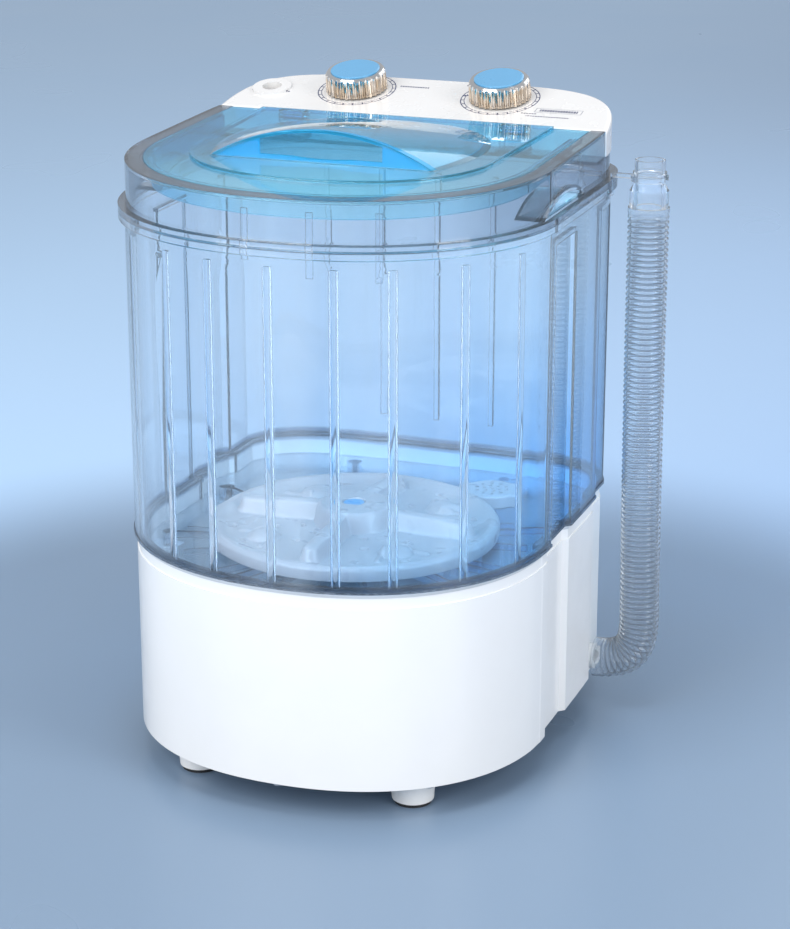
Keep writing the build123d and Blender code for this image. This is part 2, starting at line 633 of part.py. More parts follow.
# ---- pulsator and drive -------------------------------------------------------------------------------
HUB_TOP = 189.0


def pulsator():
    z = PULSATOR_RIM_Z
    profile = polygon((0, 165.0), (22, 165.0), (22, 168.2), (104, 168.2), (106.4, 164.4), (109.0, 164.4),
                      (PULSATOR_R, 166.4), (PULSATOR_R, z - 2.2), (109.2, z - 0.4), (107.2, z), (104.6, z - 0.8),
                      (101.5, 171.6), (34, 173.4), (30.5, 176), (28.6, HUB_TOP - 3.2), (26, HUB_TOP - 0.8),
                      (22.6, HUB_TOP), (0, HUB_TOP))
    disc = revolve(Plane.XZ * profile, Axis.Z)
    blade_side = polygon((12, 168.5), (97.5, 168.5), (99.5, 173), (98.5, 179.6),
                         (94, 183.2), (60, 186.4), (12, 188.4))
    blade = extrude(Plane.XZ * blade_side, amount=8.4, both=True)
    blade = try_fillet(blade, blade.faces().sort_by(Axis.Z)[-2:].edges(), 4.5)
    for k in range(4):
        disc += Rot(0, 0, 90 * k) * blade
    for k in range(4):
        turn = Rot(0, 0, 45 + 90 * k)
        dome = Pos(76, 0, 171.5) * scale(Sphere(1), by=(13.5, 11, 6.6)) & box(0, 120, -60, 60, 169, 200)
        disc += turn * dome
        for lean in (-34, 34):
            ridge = Pos(64, 0, 0) * Rot(0, 0, lean) * box(9, 38, -1.3, 1.3, 170, 174.4)
            disc += turn * ridge
        for r, a in ((44, -14), (44, 14), (60, -17), (60, 17), (92, -22), (92, 22), (92, 0)):
            disc -= turn * Rot(0, 0, a) * box(r - 1.1, r + 1.1, -2.6, 2.6, 160, 178)
    disc -= box(46, 58, -12, -8.0, 160, 181)
    disc -= rod(0, 0, 160, 183, 5.0 + 0.02) + rod(0, 0, 186, 192, 7.2)
    disc -= rod(0, 0, 180, 192, 2.6)
    return Pos(0, SHAFT_Y, 0) * disc


def hub_screw():
    body = rod(0, SHAFT_Y, 172, 186, 2.4) + rod(0, SHAFT_Y, 186, 188.4, 7.0)
    return body - box(-4.6, 4.6, SHAFT_Y - 0.7, SHAFT_Y + 0.7, 187.4, 189)


def drive_shaft():
    shaft = rod(0, SHAFT_Y, 88, 183, 5.0)
    return shaft - rod(0, SHAFT_Y, 171, 184, 2.45)


def bearing_housing():
    floor_z = TUB_FLOOR - TUB_WALL
    body = rod(0, SHAFT_Y, 114, floor_z, 18) + rod(0, SHAFT_Y, floor_z - 3, floor_z, 38)
    body += rod(0, SHAFT_Y, floor_z, TUB_FLOOR, 15)
    for k in range(6):
        body += Pos(0, SHAFT_Y, 0) * Rot(0, 0, 60 * k) * box(16, 36, -1.5, 1.5, 128, floor_z - 2)
    body -= rod(0, SHAFT_Y, 110, 170, 7.5) + rod(0, SHAFT_Y, 110, 124, 13)
    return body - rod(0, SHAFT_Y, 142, 170, 13)


def bearing(z0):
    return ring(0, SHAFT_Y, z0, z0 + 9, 13, 5 + RUN)


def shaft_seal():
    return ring(0, SHAFT_Y, 153, 161, 13, 5 + RUN)


def pulley(x, y, pitch, bore, z0=PULLEY_Z):
    """V-grooved pulley, its groove open outwards."""
    r = pitch
    half = PULLEY_H / 2
    profile = polygon((bore, 0), (r + 4, 0), (r + 4, 1.2), (r - 4, half - 1.6), (r - 4, half + 1.6),
                      (r + 4, PULLEY_H - 1.2), (r + 4, PULLEY_H), (bore, PULLEY_H))
    return Pos(x, y, z0) * revolve(Plane.XZ * profile, Axis.Z)


def large_pulley():
    wheel = pulley(0, SHAFT_Y, BIG_PITCH, 5.0)
    for k in range(5):
        a = 2 * pi * k / 5
        wheel -= rod(33 * cos(a), SHAFT_Y + 33 * sin(a), 90, 120, 12)
    return wheel


def pulley_nut():
    nut = prism(RegularPolygon(8.5, 6), 90.5, PULLEY_Z) - rod(0, 0, 80, 100, 5.0)
    return Pos(0, SHAFT_Y, 0) * nut


def motor_body():
    x, y = MOTOR
    body = rod(x, y, 36, 88, 44) + rod(x, y, 88, 91, 18)
    body = try_fillet(body, body.edges().filter_by(GeomType.CIRCLE).sort_by(SortBy.RADIUS)[-2:], 3)
    for k in range(12):
        a = 2 * pi * k / 12
        body -= rod(x + 36 * cos(a), y + 36 * sin(a), 84, 92, 3)
    return body - rod(x, y, 30, 100, 4 + RUN)


def motor_shaft():
    return rod(*MOTOR, 38, 112, 4.0)


def motor_bracket():
    x, y = MOTOR
    z0 = FOOT_H + 6 + 2.2
    plate = box(x - 46, x + 46, y - 46, y + 46, z0, 36)
    plate = plate & rod(x, y, z0 - 1, 40, 60)
    for dx in (-36, 36):
        for dy in (-36, 36):
            plate -= rod(x + dx, y + dy, z0 - 5, 40, 3.2)
    return plate - rod(*FEET[2], z0 - 5, 40, 7)


def motor_mounts():
    x, y = MOTOR
    z0 = FOOT_H + 6
    pads = [ring(x + dx, y + dy, z0, z0 + 2.2, 8, 3.2) for dx in (-36, 36) for dy in (-36, 36)]
    return Compound(children=pads)


def belt():
    """V belt round both pulleys, with room in the grooves."""
    (x1, y1), (x2, y2) = (0.0, SHAFT_Y), MOTOR
    far = hypot(x2 - x1, y2 - y1)
    turn = degrees(atan2(y2 - y1, x2 - x1))

    def loop(grow):
        a, b = BIG_PITCH + grow, SMALL_PITCH + grow
        lean = (a - b) / far
        side = (1 - lean ** 2) ** 0.5
        big_up, small_up = (a * lean, a * side), (far + b * lean, b * side)
        big_low, small_low = (a * lean, -a * side), (far + b * lean, -b * side)
        return make_face([ThreePointArc(big_up, (-a, 0), big_low), Line(big_low, small_low),
                          ThreePointArc(small_low, (far + b, 0), small_up), Line(small_up, big_up)])

    z0, z1 = PULLEY_Z + 4.9, PULLEY_Z + 7.1
    flat = prism(loop(2.2), z0, z1) - prism(loop(-1.6), z0 - 1, z1 + 1)
    return Pos(x1, y1, 0) * Rot(0, 0, turn) * flat


def capacitor():
    z = FOOT_H + 6 + 19
    body = along_x(62, 112, -52, z, 17)
    body = try_fillet(body, body.edges().filter_by(GeomType.CIRCLE), 2)
    return body + along_x(56, 62, -57, z, 1.6) + along_x(56, 62, -47, z, 1.6)


def capacitor_clip():
    z = FOOT_H + 6
    clip = along_x(80, 94, -52, z + 19, 19) - along_x(70, 104, -52, z + 19, 17.05)
    clip = clip & box(70, 104, -80, -20, z + 12, z + 60)
    return clip + box(80, 94, -71, -69, z, z + 19) + box(80, 94, -35, -33, z, z + 19)


def terminal_box():
    z = FOOT_H + 6
    case = box(-118, -70, -66, -22, z, z + 26)
    case = try_fillet(case, case.edges().filter_by(Axis.Z), 3)
    case -= box(-116, -72, -64, -24, z + 2, z + 24)
    for k in range(3):
        case -= along_x(-122, -112, -56 + 12 * k, z + 13, 3)
    return case


def lead_gland():
    """Gland for the power lead in the rear wall."""
    back = BACK_Y + BACK_D - BASE_IN
    turn = Pos(-92, back, 60) * Rot(90, 0, 0)
    gland = turn * (Pos(0, 0, 3) * Cylinder(7.9, 14) + Pos(0, 0, 8.6) * Cylinder(11, 3))
    return gland - turn * Cylinder(3.4, 60)


# ---- assembly -----------------------------------------------------------------------------------------
def add(name, shape):
    parts[name] = Pos(0, -CENTRE_SHIFT, 0) * shape


def build():
    add("base_housing", base_housing())
    add("bottom_plate", bottom_plate())
    names = ("foot_front_left", "foot_front_right", "foot_rear_left", "foot_rear_right")
    for name, (x, y) in zip(names, FEET):
        add(name, foot(x, y))
    add("foot_pads", foot_pads())
    add("base_screws", Compound(children=[screw(x, y, FOOT_H - 0.1, 7.5) for x, y in base_screw_places()]))
    add("tub_screws", Compound(children=[screw(x, y, LUG_Z - 4, 12) for x, y in LUGS]))
    add("wash_tub", wash_tub())
    add("tub_spider", tub_spider())
    add("tub_gasket", tub_gasket())
    add("strainer_seat", strainer_seat())
    add("strainer_cover", strainer_cover())
    add("drain_pipe", drain_pipe())
    add("hose_spigot", hose_spigot())
    add("drain_hose", drain_hose())
    add("hose_nozzle", hose_nozzle())
    add("nozzle_hook", nozzle_hook())
    add("upper_collar", upper_collar())
    add("rear_deck", rear_deck())
    add("collar_clips", collar_clips())
    grip = side_grip()
    add("grip_right", grip)
    add("grip_left", mirror(grip, Plane.YZ))
    for word, side in (("left", -1), ("right", 1)):
        add("hinge_bracket_" + word, hinge_bracket(side))
        add("hinge_pin_" + word, hinge_pin(side))
    add("lid", lid())
    add("console_cover", console_cover())
    add("console_tray", console_tray())
    add("inlet_port", inlet_port())
    for word, side in (("timer", -1), ("selector", 1)):
        add(word + "_body", timer_body(side))
        add(word + "_spindle", spindle(side))
        add(word + "_knob", knob_skirt(side))
        add(word + "_knob_cap", knob_cap(side))
    add("pulsator", pulsator())
    add("hub_screw", hub_screw())
    add("drive_shaft", drive_shaft())
    add("bearing_housing", bearing_housing())
    add("bearing_upper", bearing(142))
    add("bearing_lower", bearing(115))
    add("shaft_seal", shaft_seal())
    add("large_pulley", large_pulley())
    add("pulley_nut", pulley_nut())
    add("motor_body", motor_body())
    add("motor_shaft", motor_shaft())
    add("motor_pulley", pulley(*MOTOR, SMALL_PITCH, 4.0))
    add("motor_bracket", motor_bracket())
    add("motor_mounts", motor_mounts())
    add("drive_belt", belt())
    add("capacitor", capacitor())
    add("capacitor_clip", capacitor_clip())
    add("terminal_box", terminal_box())
    add("lead_gland", lead_gland())


build()
os.makedirs("parts", exist_ok=True)
for name, shape in parts.items():
    export_step(shape, f"parts/{name}.step")
    print(name, round(shape.volume, 1))
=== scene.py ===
import json
from math import cos, pi, radians, sin

import bpy
import numpy as np
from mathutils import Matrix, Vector


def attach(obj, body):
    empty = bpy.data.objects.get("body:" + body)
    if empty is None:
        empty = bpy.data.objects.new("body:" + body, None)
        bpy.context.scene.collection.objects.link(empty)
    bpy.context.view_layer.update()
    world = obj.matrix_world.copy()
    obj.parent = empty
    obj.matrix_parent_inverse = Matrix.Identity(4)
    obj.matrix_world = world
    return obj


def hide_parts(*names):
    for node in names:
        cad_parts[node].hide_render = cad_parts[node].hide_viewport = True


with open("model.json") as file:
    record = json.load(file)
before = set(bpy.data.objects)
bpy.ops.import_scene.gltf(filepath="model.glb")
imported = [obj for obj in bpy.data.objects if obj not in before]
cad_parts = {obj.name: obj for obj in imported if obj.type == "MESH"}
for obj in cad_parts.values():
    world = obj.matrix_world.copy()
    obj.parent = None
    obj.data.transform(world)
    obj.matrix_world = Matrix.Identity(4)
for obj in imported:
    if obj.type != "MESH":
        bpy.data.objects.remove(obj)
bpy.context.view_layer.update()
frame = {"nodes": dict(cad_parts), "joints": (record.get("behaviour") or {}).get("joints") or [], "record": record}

MM = 0.001
NODES = frame["nodes"]
JOINTS = {joint["name"]: joint for joint in frame["joints"]}

# ---- camera, floor and light --------------------------------------------------------------------------
VIEW_AZIMUTH = radians(20.545)
VIEW_ELEVATION = radians(18.241)
VIEW_DISTANCE = 1.8976
VIEW_TARGET = Vector((0.0377, -0.02745, 0.2268))
LENS = 98.47
FLOOR_SIZE = 14.0
LIGHT_TARGET = Vector((0, 0, 0.25))
# name, azimuth and elevation in degrees, distance, width, height, power, colour
LIGHTS = (("key", -24, 30, 2.2, 1.5, 1.9, 41, (1.0, 0.985, 0.96)),
          ("fill", 70, 22, 2.4, 0.9, 1.8, 31, (1.0, 0.98, 0.95)),
          ("top", 10, 78, 1.9, 0.9, 0.9, 12, (1.0, 1.0, 1.0)),
          ("rear", 160, 34, 2.2, 1.6, 1.2, 10, (0.84, 0.92, 1.0)))
SKY_COLOUR = (0.84, 0.89, 0.96, 1)
SKY_STRENGTH = 0.56


def link(obj):
    bpy.context.scene.collection.objects.link(obj)
    return obj


def towards(azimuth, elevation):
    """Unit vector from the object to a viewer; azimuth 0 stands in front, 90 on the right."""
    level = cos(elevation)
    return Vector((sin(azimuth) * level, -cos(azimuth) * level, sin(elevation)))


def make_camera():
    data = bpy.data.cameras.new("camera")
    data.lens = LENS
    camera = link(bpy.data.objects.new("camera", data))
    back = towards(VIEW_AZIMUTH, VIEW_ELEVATION)
    camera.location = VIEW_TARGET + back * VIEW_DISTANCE
    camera.rotation_euler = (-back).to_track_quat("-Z", "Y").to_euler()
    bpy.context.scene.camera = camera


def area_light(name, azimuth, elevation, distance, width, height, power, colour):
    data = bpy.data.lights.new(name, "AREA")
    data.shape = "RECTANGLE"
    data.size = width
    data.size_y = height
    data.energy = power
    data.color = colour
    lamp = link(bpy.data.objects.new(name, data))
    back = towards(radians(azimuth), radians(elevation))
    lamp.location = LIGHT_TARGET + back * distance
    lamp.rotation_euler = (-back).to_track_quat("-Z", "Y").to_euler()
    lamp.visible_camera = False


def make_lights():
    for light in LIGHTS:
        area_light(*light)
    world = bpy.data.worlds.new("studio")
    world.use_nodes = True
    background = world.node_tree.nodes["Background"]
    background.inputs["Color"].default_value = SKY_COLOUR
    background.inputs["Strength"].default_value = SKY_STRENGTH
    bpy.context.scene.world = world
    bpy.context.scene.view_settings.view_transform = "Standard"


# ---- materials ----------------------------------------------------------------------------------------
class Shader:
    """A material under construction; each call adds one node and returns it or its output."""

    def __init__(self, name):
        self.material = bpy.data.materials.new(name)
        self.material.use_nodes = True
        self.tree = self.material.node_tree
        self.tree.nodes.clear()
        coordinates = self.add("TexCoord")
        self.place = coordinates.outputs["Object"]

    def add(self, kind, inputs=(), **settings):
        node = self.tree.nodes.new("ShaderNode" + kind)
        for key, value in settings.items():
            setattr(node, key, value)
        for key, value in dict(inputs).items():
            if isinstance(value, bpy.types.NodeSocket):
                self.tree.links.new(value, node.inputs[key])
            else:
                node.inputs[key].default_value = value
        return node

    def noise(self, scale, detail=2.0, stretch=None):
        place = self.place
        if stretch:
            place = self.add("Mapping", {"Vector": place, "Scale": stretch}).outputs[0]
        return self.add("TexNoise", {"Vector": place, "Scale": scale, "Detail": detail}).outputs[0]

    def ranged(self, value, low, high, start=0.3, end=0.7):
        """value from start..end mapped to low..high."""
        limits = {"Value": value, "From Min": start, "From Max": end, "To Min": low, "To Max": high}
        return self.add("MapRange", limits).outputs[0]

    def mixed(self, factor, one, other):
        node = self.add("Mix", {0: factor, 6: one, 7: other}, data_type="RGBA")
        return node.outputs[2]

    def bumped(self, height, strength, distance):
        return self.add("Bump", {"Height": height, "Strength": strength, "Distance": distance}).outputs[0]

    def math(self, operation, *values):
        return self.add("Math", enumerate(values), operation=operation).outputs[0]

    def within(self, value, centre, half):
        """1 where a value lies within a half width of its centre, else 0."""
        away = self.math("ABSOLUTE", self.math("SUBTRACT", value, centre))
        return self.math("LESS_THAN", away, half)

    def inside(self, across, up, block):
        """1 inside a block given as its centre across and up, half width and half height."""
        x, v, half_x, half_v = block
        return self.math("MULTIPLY", self.within(across, x, half_x), self.within(up, v, half_v))

    def either(self, masks):
        total = masks[0]
        for mask in masks[1:]:
            total = self.math("MAXIMUM", total, mask)
        return total

    def creases(self, width):
        """1 along sharp edges, falling to 0 within width: how far a rounded normal leaves the true one."""
        rounded = self.add("Bevel", {"Radius": width}, samples=3).outputs[0]
        true = self.add("NewGeometry").outputs["Normal"]
        agree = self.add("VectorMath", {0: rounded, 1: true}, operation="DOT_PRODUCT").outputs["Value"]
        return self.add("MapRange", {"Value": agree, "From Min": 0.99, "From Max": 0.90}).outputs[0]

    def output(self, surface):
        self.add("OutputMaterial", {"Surface": surface})
        return self.material


def rgba(colour):
    return (*colour, 1.0)


def shaded(colour, factor):
    return tuple(min(1.0, c * factor) for c in colour)


def solid(name, colour, rough, drift=0.94, grain=900.0, depth=0.02, metal=0.0, coat=0.0, stretch=None,
          print_and_painted_reflection=None):
    """Opaque finish: the colour drifts a little, the roughness varies and the surface has a fine grain."""
    shader = Shader(name)
    tone = shader.ranged(shader.noise(18.0, 4.0, stretch), 0.0, 1.0)
    colours = shader.mixed(tone, rgba(colour), rgba(shaded(colour, drift)))
    # Printed guides on the console; a painted warm reflection on the dials.
    if print_and_painted_reflection:
        mask, ink_and_painted_reflection = print_and_painted_reflection(shader)
        colours = shader.mixed(mask, colours, rgba(ink_and_painted_reflection))
    fine = shader.noise(grain, 3.0, stretch)
    roughness = shader.ranged(shader.noise(55.0, 3.0, stretch), rough * 0.85, rough * 1.2)
    normal = shader.bumped(fine, 0.25, depth * MM)
    bsdf = shader.add("BsdfPrincipled", {"Base Color": colours, "Roughness": roughness, "Normal": normal,
                                         "Metallic": metal, "Coat Weight": coat, "Coat Roughness": 0.08})
    return shader.output(bsdf.outputs[0])


DIALS = [JOINTS["timer_turn"], JOINTS["selector_turn"]]
DIAL_AXIS = Vector(DIALS[0]["axis"])
UPHILL = Vector((0.0, DIAL_AXIS.z, -DIAL_AXIS.y))
DIAL_MIDDLE = (Vector(DIALS[0]["pos_m"]) + Vector(DIALS[1]["pos_m"])) / 2
PRINT_INK = (0.025, 0.035, 0.11)
RINGS = ((0.0308, 0.00042), (0.0281, 0.00030))     # radius and half width of the rings round each dial
TICK_STEP = radians(15)
BARS = ((-0.015, 0.0115, 0.0120, 0.0011), (0.030, 0.0210, 0.0045, 0.0009), (0.031, 0.0020, 0.0028, 0.0009),
        (-0.128, -0.0125, 0.0160, 0.0012), (0.112, -0.0170, 0.0150, 0.0020), (0.090, -0.0240, 0.0060, 0.0008),
        (0.106, -0.0285, 0.0170, 0.0008))          # across, uphill, half width, half height
BAR_PITCH = 0.0021
DASH_SHARE = 0.7
TICK_SHARE = 0.16
FRAME = (0.112, -0.0170, 0.0185, 0.0040)           # across, uphill, half width, half height
FRAME_LINE = 0.0004
PRINT_REACH = 0.0012                               # prints lie only this near the console's top


def dial_height(shader):
    """Height above the console's sloping top."""
    reach = shader.add("VectorMath", {0: shader.place, 1: DIAL_AXIS}, operation="DOT_PRODUCT").outputs["Value"]
    return shader.math("SUBTRACT", reach, DIAL_AXIS.dot(DIAL_MIDDLE))


def console_marks(shader):
    """Plain printed guides on the console: rings with ticks round the dials, dashed bars and one frame."""
    across = shader.add("SeparateXYZ", {0: shader.place}).outputs["X"]
    reach = shader.add("VectorMath", {0: shader.place, 1: UPHILL}, operation="DOT_PRODUCT").outputs["Value"]
    up = shader.math("SUBTRACT", reach, UPHILL.dot(DIAL_MIDDLE))
    masks = []
    (outer, _), (inner, _) = RINGS
    for dial in DIALS:
        side = shader.math("SUBTRACT", across, dial["pos_m"][0])
        squares = shader.math("ADD", shader.math("POWER", side, 2.0), shader.math("POWER", up, 2.0))
        away = shader.math("SQRT", squares)
        for radius, half in RINGS:
            masks.append(shader.within(away, radius, half))
        turn = shader.math("WRAP", shader.math("ARCTAN2", side, up), TICK_STEP, 0.0)
        tick = shader.math("LESS_THAN", turn, TICK_STEP * TICK_SHARE)
        between = shader.within(away, (outer + inner) / 2, (outer - inner) / 2)
        masks.append(shader.math("MULTIPLY", tick, between))
    dash = shader.math("LESS_THAN", shader.math("WRAP", across, BAR_PITCH, 0.0), BAR_PITCH * DASH_SHARE)
    for bar in BARS:
        masks.append(shader.math("MULTIPLY", shader.inside(across, up, bar), dash))
    x, v, half_x, half_v = FRAME
    hollow = (x, v, half_x - FRAME_LINE, half_v - FRAME_LINE)
    masks.append(shader.math("SUBTRACT", shader.inside(across, up, FRAME), shader.inside(across, up, hollow)))
    on_top = shader.within(dial_height(shader), 0.0, PRINT_REACH)
    return shader.math("MULTIPLY", shader.either(masks), on_top), PRINT_INK


# Painted reflection: a warm bronze tone on the chrome dial flutes stands in for a reflection.
KNOB_PAINTED_REFLECTION = (0.46, 0.36, 0.26)
FLUTE_TOP = (0.0125, 0.0150)     # the painted warm reflection fades out between these heights


def knob_painted_reflection(shader):
    """Painted reflection: the flutes of the dials take a warm bronze tone below their bright upper edge, standing
    in for a warm reflection in the chrome.
    """
    low = shader.ranged(dial_height(shader), 1.0, 0.0, *FLUTE_TOP)
    painted_reflection_streak = shader.ranged(shader.noise(240.0, 2.0, (1, 1, 0.15)), 0.55, 1.0, 0.35, 0.65)
    return shader.math("MULTIPLY", low, painted_reflection_streak), KNOB_PAINTED_REFLECTION


def clear(name, colour, edge, shadow, rough=0.015, ior=1.49, ripple=26.0, depth=0.25, edge_start=0.55,
          tint=None, haze=0.02, haze_colour=(0.9, 0.95, 1.0), crease=0.7, line=0.8):
    """Clear moulded plastic: darker towards its edges, faintly hazy, with slow ripples, uneven polish and painted
    shade as dark lines along its creases.
    """
    shader = Shader(name)
    facing = shader.add("LayerWeight", {"Blend": 0.5}).outputs["Facing"]
    rim = shader.ranged(facing, 0.0, 1.0, edge_start, 1.0)
    body = tint(shader) if tint else rgba(colour)
    drift = shader.ranged(shader.noise(9.0, 3.0), 0.0, 0.35)
    body = shader.mixed(drift, body, rgba(shaded(colour, 0.95)))
    colours = shader.mixed(rim, body, rgba(edge))
    roughness = shader.ranged(shader.noise(70.0, 3.0), rough * 0.5, rough * 1.8)
    normal = shader.bumped(shader.noise(ripple, 1.0), 0.15, depth * MM)
    bsdf = shader.add("BsdfPrincipled", {"Base Color": colours, "Roughness": roughness, "Normal": normal,
                                         "IOR": ior, "Transmission Weight": 1.0})
    milky = haze_colour(shader) if callable(haze_colour) else rgba(haze_colour)
    glow = shader.add("BsdfDiffuse", {"Color": milky})
    lit = shader.add("BsdfTranslucent", {"Color": milky})
    milk = shader.add("MixShader", {0: 0.5, 1: glow.outputs[0], 2: lit.outputs[0]})
    haze = haze(shader) if callable(haze) else haze
    hazy = shader.add("MixShader", {0: haze, 1: bsdf.outputs[0], 2: milk.outputs[0]})
    # Painted shade: dark lines laid along the sharp creases.
    if crease:
        painted_crease_shade = shader.math("MULTIPLY", shader.creases(crease * MM), line)
        painted_crease_shade_bsdf = shader.add("BsdfPrincipled", {"Base Color": rgba(edge), "Roughness": 0.12})
        hazy = shader.add("MixShader", {0: painted_crease_shade, 1: hazy.outputs[0], 2: painted_crease_shade_bsdf.outputs[0]})
    through = shader.add("BsdfTransparent", {"Color": rgba(shadow)})
    shadow_ray = shader.add("LightPath").outputs["Is Shadow Ray"]
    both = shader.add("MixShader", {0: shadow_ray, 1: hazy.outputs[0], 2: through.outputs[0]})
    return shader.output(both.outputs[0])


# Painted shade on the floor: deeper near the object and on the far right.
FLOOR_NEAR_PAINTED_SHADE = (0.205, 0.285, 0.395, 1)
FLOOR_FAR = (0.52, 0.74, 1.0, 1)
FLOOR_FAR_RIGHT_PAINTED_SHADE = (0.40, 0.56, 0.80, 1)
NEAR_TO, FAR_FROM = 0.46, 0.74   # distances from the object between which the floor's painted shade gives way to its paler far tone


def floor_finish():
    """Pale blue studio floor with painted shade: deeper round the object, paler further away, and darker far off
    to the right.
    """
    shader = Shader("floor")
    away = shader.add("VectorMath", {0: shader.place}, operation="LENGTH").outputs["Value"]
    tone = shader.add("MapRange", {"Value": away, "From Min": NEAR_TO, "From Max": FAR_FROM},
                      interpolation_type="SMOOTHSTEP")
    across = shader.add("SeparateXYZ", {0: shader.place}).outputs["X"]
    far = shader.mixed(shader.ranged(across, 0.0, 1.0, -0.9, 0.5), FLOOR_FAR, FLOOR_FAR_RIGHT_PAINTED_SHADE)
    colours = shader.mixed(tone.outputs[0], FLOOR_NEAR_PAINTED_SHADE, far)
    roughness = shader.ranged(shader.noise(3.0, 2.0), 0.27, 0.30)
    bsdf = shader.add("BsdfPrincipled", {"Base Color": colours, "Roughness": roughness,
                                         "Specular IOR Level": 0.25})
    return shader.output(bsdf.outputs[0])


def make_floor():
    half = FLOOR_SIZE / 2
    mesh = bpy.data.meshes.new("floor")
    corners = [(-half, -half, 0), (half, -half, 0), (half, half, 0), (-half, half, 0)]
    mesh.from_pydata(corners, [], [(0, 1, 2, 3)])
    mesh.materials.append(floor_finish())
    link(bpy.data.objects.new("floor", mesh))


def level_top(shader, start):
    """1 on faces that look straight up, fading to 0 where the normal's height falls to start."""
    normal = shader.add("NewGeometry").outputs["Normal"]
    return shader.ranged(shader.add("SeparateXYZ", {0: normal}).outputs["Z"], 0.0, 1.0, start, 0.95)


def collar_tint_and_painted_shade(shader):
    """Clear at the front, with painted shade: greyer at both sides and grey on the level top of the rim."""
    side = shader.math("ABSOLUTE", shader.add("SeparateXYZ", {0: shader.place}).outputs["X"])
    # Painted shade on both sides and on the rim's level top.
    painted_side_shade = shader.ranged(side, 0.0, 1.0, 0.100, 0.158)
    wall = shader.mixed(painted_side_shade, (0.90, 0.93, 0.96, 1), (0.44, 0.47, 0.52, 1))
    return shader.mixed(level_top(shader, 0.75), wall, (0.40, 0.40, 0.40, 1))


# Height of the tub's foot, where a band of painted shade lies.
TUB_FOOT_Z = 0.1790


def tub_tint_and_painted_light(shader):
    """Painted light on the clear tub: painted shade in grey on the left and low down, a painted azure glow on the
    lower right, and a band of painted shade at the foot where the tub meets the base.
    """
    axes = shader.add("SeparateXYZ", {0: shader.place}).outputs
    side = shader.ranged(axes["X"], 0.0, 1.0, -0.16, 0.16)
    high = shader.ranged(axes["Z"], 0.0, 1.0, 0.15, 0.36)
    # Painted shade on the lower left, painted azure glow on the lower right.
    low = shader.mixed(side, (0.84, 0.86, 0.89, 1), (0.18, 0.62, 1.0, 1))
    upper = shader.mixed(side, (0.95, 0.97, 0.99, 1), (0.91, 0.97, 1.0, 1))
    # Painted shade: a dark band at the tub's foot.
    above_foot = shader.math("ABSOLUTE", shader.math("SUBTRACT", axes["Z"], TUB_FOOT_Z))
    foot = shader.ranged(above_foot, 1.0, 0.0, 0.0022, 0.0045)
    return shader.mixed(foot, shader.mixed(high, low, upper), (0.16, 0.21, 0.30, 1))


HOOD_FRONT_Y = -0.07745
HOOD_FOOT_Z = 0.4622


def hood_front(shader):
    """1 on the front wall of the lid's hood."""
    axes = shader.add("SeparateXYZ", {0: shader.place}).outputs
    wall = shader.within(axes["Y"], HOOD_FRONT_Y + 0.001, 0.004)
    return shader.math("MULTIPLY", wall, shader.math("GREATER_THAN", axes["Z"], HOOD_FOOT_Z))


def lid_tint_and_painted_light(shader):
    """Painted light on the lid: paler towards the rounded front as a painted sheen, deeper on the left as painted
    shade, and deep cyan on the hood's front wall.
    """
    axes = shader.add("SeparateXYZ", {0: shader.place}).outputs
    # Painted sheen towards the front, painted shade on the left.
    back = shader.ranged(axes["Y"], 0.0, 1.0, -0.15, 0.06)
    left = shader.ranged(axes["X"], 1.0, 0.0, -0.13, -0.02)
    plate = shader.mixed(back, (0.74, 1.0, 1.0, 1), (0.34, 0.78, 0.96, 1))
    plate = shader.mixed(left, plate, (0.16, 0.60, 0.88, 1))
    return shader.mixed(hood_front(shader), plate, (0.06, 0.58, 0.94, 1))


def lid_haze_and_painted_sheen(shader):
    """Milkier on the hood's front wall, and milkier on the level plate towards the rounded front as a painted
    sheen.
    """
    along = shader.add("SeparateXYZ", {0: shader.place}).outputs["Y"]
    # Painted sheen: milkier level plate towards the front.
    plate = shader.math("MULTIPLY", shader.ranged(along, 0.16, 0.0, -0.15, -0.06), level_top(shader, 0.6))
    hood = shader.ranged(hood_front(shader), 0.045, 0.30, 0.0, 1.0)
    return shader.math("ADD", plate, hood)


def lid_haze_colour(shader):
    """Pale on the plate, where it also carries the painted sheen towards the front; deep on the hood's front wall.
    """
    return shader.mixed(hood_front(shader), (0.42, 0.86, 1.0, 1), (0.04, 0.62, 1.0, 1))


def hose_painted_groove_shade(shader):
    """Painted shade: the corrugated hose is darker at the bottom of its grooves."""
    groove = shader.add("Attribute", attribute_name="groove").outputs["Fac"]
    return shader.mixed(groove, (0.95, 0.97, 0.99, 1), (0.34, 0.38, 0.43, 1))


def tub_streaks_and_painted_highlight(shader):
    """Soft upright streaks of haze, and a milkier stretch of wall right of the middle that is a painted highlight.
    """
    streaks = shader.ranged(shader.noise(20.0, 2.0, (1, 1, 0.04)), 0.0, 0.09, 0.42, 0.68)
    axes = shader.add("SeparateXYZ", {0: shader.place}).outputs
    # Painted highlight: milkier wall high up, right of the middle.
    aside = shader.math("ABSOLUTE", shader.math("SUBTRACT", axes["X"], 0.075))
    upper = shader.ranged(axes["Z"], 0.0, 1.0, 0.21, 0.30)
    milky = shader.math("MULTIPLY", shader.ranged(aside, 0.06, 0.0, 0.010, 0.050), upper)
    return shader.math("ADD", streaks, milky)


